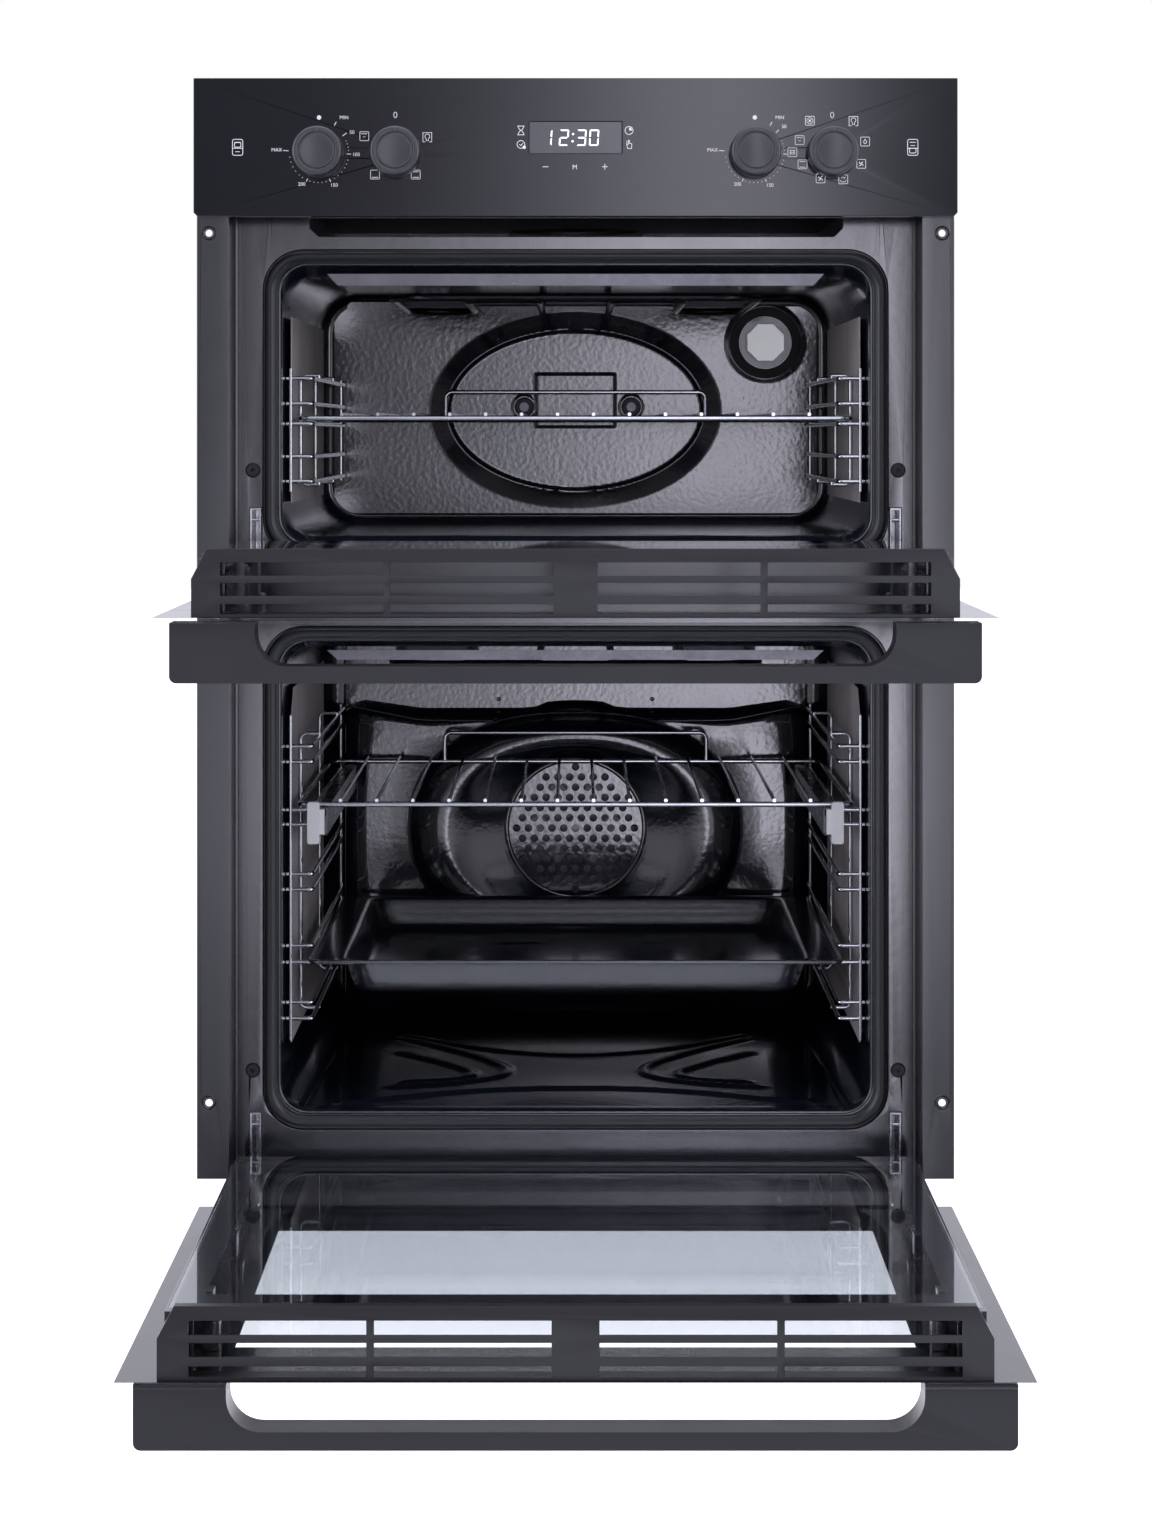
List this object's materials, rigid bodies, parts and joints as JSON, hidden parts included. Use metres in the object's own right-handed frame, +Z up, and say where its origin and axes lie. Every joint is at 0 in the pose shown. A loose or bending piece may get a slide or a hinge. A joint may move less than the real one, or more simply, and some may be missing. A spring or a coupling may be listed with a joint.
{
  "type": "wall oven",
  "caption": "Black built-in double wall oven with two glass drop-down doors, four control knobs and a digital clock, both doors shown open.",
  "frame": {"origin": "centre of the four cabinet fixing holes, in the front face of the side trims' flanges", "axes": "+X to the right seen from the front, +Y back into the oven, +Z up; the doors open towards -Y"},
  "size_m": [0.594, 1.018, 0.931],
  "materials": {
    "black_steel": "satin",
    "enamel": "gloss",
    "cavity_enamel": "gloss",
    "seal_rubber": "matte",
    "zinc_steel": "satin",
    "black_glass": "gloss",
    "display": "gloss",
    "board": "matte",
    "ceramic_body": "matte",
    "element_steel": "satin",
    "chrome_wire": "polished",
    "liner_enamel": "matte",
    "motor_steel": "satin",
    "aluminium": "satin",
    "lamp_black": "satin",
    "lamp_glass": "gloss",
    "zinc_bright": "polished",
    "black_plastic": "matte",
    "dark_steel": "satin",
    "white_plastic": "matte",
    "wool": "matte",
    "pane_glass": "gloss",
    "gloss_black": "gloss",
    "tray_enamel": "gloss",
    "knob_black": "satin"
  },
  "bodies": {
    "housing": {"side_trim_left": "black_steel", "side_trim_right": "black_steel", "front_frame": "enamel", "upper_cavity": "cavity_enamel", "lower_cavity": "cavity_enamel", "upper_seal": "seal_rubber", "lower_seal": "seal_rubber", "side_panel_left": "zinc_steel", "side_panel_right": "zinc_steel", "top_cover": "zinc_steel", "rear_panel": "zinc_steel", "base_pan": "zinc_steel", "control_fascia": "black_glass", "display_window": "display", "control_board": "board", "knob_switches": "ceramic_body", "upper_grill": "element_steel", "lower_grill": "element_steel", "upper_racks": "chrome_wire", "lower_racks": "chrome_wire", "catalytic_liners": "liner_enamel", "fan_cover": "cavity_enamel", "ring_element": "element_steel", "fan_motor": "motor_steel", "lamp_housing": "lamp_black", "lamp_lens": "lamp_glass", "hinge_receivers": "zinc_bright", "hinge_claws": "zinc_bright", "frame_buffers": "black_plastic", "cooling_duct": "zinc_steel", "cooling_motor": "motor_steel", "runner_rails": "dark_steel", "terminal_block": "black_plastic", "insulation": "wool", "case_screws": "zinc_bright"},
    "upper_door": {"upper_outer_glass": "black_glass", "upper_inner_glass": "pane_glass", "upper_rails": "black_steel", "upper_cap": "black_steel", "upper_handle": "gloss_black", "upper_hinges": "zinc_bright"},
    "lower_door": {"lower_outer_glass": "black_glass", "lower_middle_glass": "pane_glass", "lower_inner_glass": "pane_glass", "lower_rails": "black_steel", "lower_cap": "black_steel", "lower_handle": "gloss_black", "lower_hinges": "zinc_bright"},
    "thermostat_upper": {"thermostat_knob_upper": "knob_black"},
    "function_upper": {"function_knob_upper": "knob_black"},
    "thermostat_lower": {"thermostat_knob_lower": "knob_black"},
    "function_lower": {"function_knob_lower": "knob_black"},
    "convection_fan": {"fan_wheel": "aluminium"},
    "cooling_impeller": {"cooling_rotor": "aluminium"},
    "upper_shelf_body": {"upper_shelf": "chrome_wire"},
    "lower_shelf_body": {"lower_shelf": "chrome_wire", "runner_slides": "dark_steel", "runner_stops": "white_plastic"},
    "runner_middle_body": {"runner_middles": "dark_steel"},
    "tray_body": {"baking_tray": "tray_enamel"}
  },
  "joints": [
    {"name": "upper_door_hinge", "type": "hinge", "parent": "housing", "child": "upper_door", "pos_m": [0, 0.008, 0.06825], "axis": [1, 0, 0], "range_deg": [-90, 0]},
    {"name": "lower_door_hinge", "type": "hinge", "parent": "housing", "child": "lower_door", "pos_m": [0, 0.008, -0.41125], "axis": [1, 0, 0], "range_deg": [-90, 0]},
    {"name": "thermostat_upper_turn", "type": "hinge", "parent": "housing", "child": "thermostat_upper", "pos_m": [-0.1993, -0.01, 0.40095], "axis": [0, 1, 0], "range_deg": [0, 270]},
    {"name": "function_upper_turn", "type": "hinge", "parent": "housing", "child": "function_upper", "pos_m": [-0.1393, -0.01, 0.40095], "axis": [0, 1, 0], "continuous": true},
    {"name": "thermostat_lower_turn", "type": "hinge", "parent": "housing", "child": "thermostat_lower", "pos_m": [0.1393, -0.01, 0.40095], "axis": [0, 1, 0], "range_deg": [0, 270]},
    {"name": "function_lower_turn", "type": "hinge", "parent": "housing", "child": "function_lower", "pos_m": [0.1993, -0.01, 0.40095], "axis": [0, 1, 0], "continuous": true},
    {"name": "convection_fan_spin", "type": "hinge", "parent": "housing", "child": "convection_fan", "pos_m": [0, 0.459, -0.17875], "axis": [0, 1, 0], "continuous": true},
    {"name": "cooling_impeller_spin", "type": "hinge", "parent": "housing", "child": "cooling_impeller", "pos_m": [0, 0.374, 0.38125], "axis": [0, 0, 1], "continuous": true},
    {"name": "upper_shelf_slide", "type": "slide", "parent": "housing", "child": "upper_shelf_body", "axis": [0, -1, 0], "range_m": [0, 0.24]},
    {"name": "lower_shelf_slide", "type": "slide", "parent": "housing", "child": "lower_shelf_body", "axis": [0, -1, 0], "range_m": [0, 0.28]},
    {"name": "runner_middle_slide", "type": "slide", "parent": "housing", "child": "runner_middle_body", "axis": [0, -1, 0], "range_m": [0, 0.14]},
    {"name": "tray_slide", "type": "slide", "parent": "housing", "child": "tray_body", "axis": [0, -1, 0], "range_m": [0, 0.26]}
  ],
  "couplings": [
    {"joint": "runner_middle_slide", "follows": "lower_shelf_slide", "ratio": 0.5}
  ]
}
